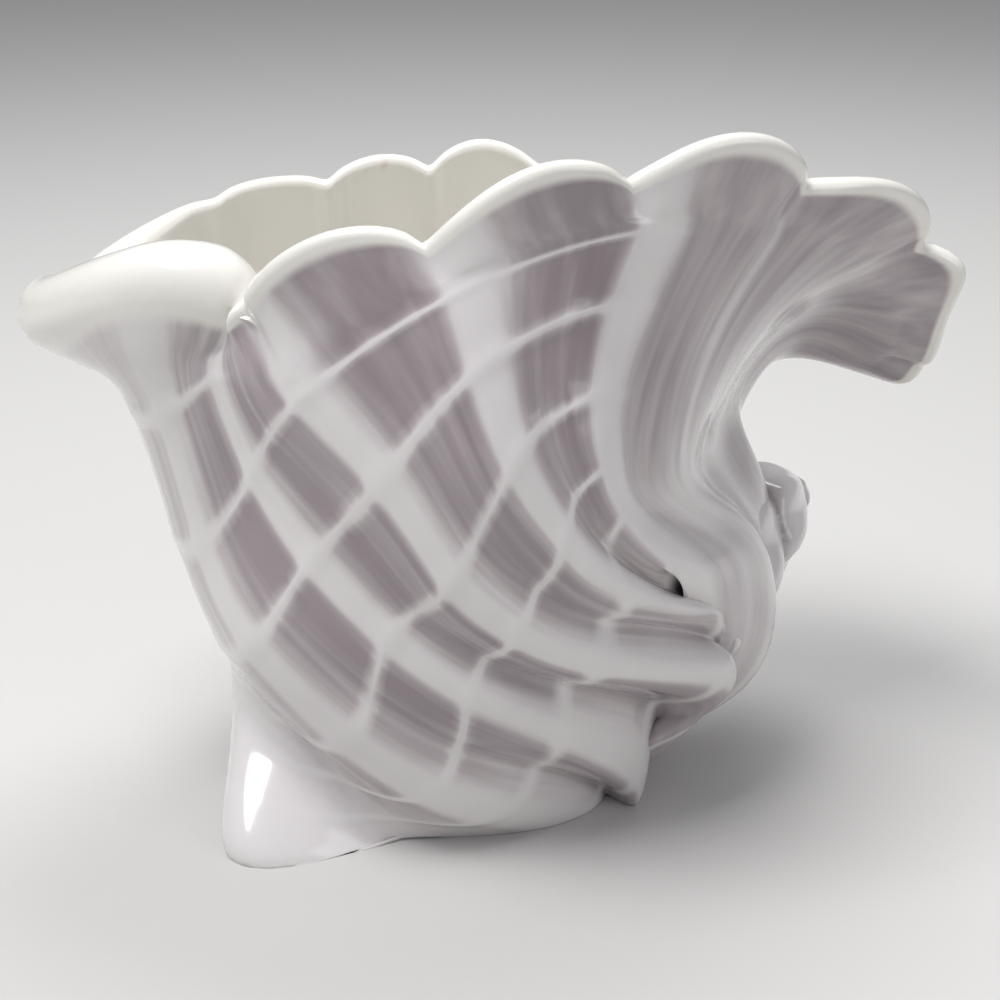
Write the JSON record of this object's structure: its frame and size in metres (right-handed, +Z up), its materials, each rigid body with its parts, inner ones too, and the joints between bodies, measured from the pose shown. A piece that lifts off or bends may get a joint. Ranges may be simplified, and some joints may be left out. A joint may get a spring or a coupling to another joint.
{
  "type": "conch shell planter",
  "caption": "Hollow glazed ceramic planter in the shape of a conch, with a scalloped mouth, a rolled lip and a knobbed spire.",
  "frame": {"origin": "on the table plane, under the middle of the bounding box", "axes": "+Z up out of the mouth, +X towards the flared wing, +Y towards the back, away from the ringed side with the rolled lip"},
  "size_m": [0.2988, 0.167, 0.2305],
  "materials": {
    "glaze": "glossy warm white glaze with soft mauve-grey in the hollows and a plain cream inside"
  },
  "bodies": {
    "root": {"shell": "glaze"}
  },
  "joints": []
}
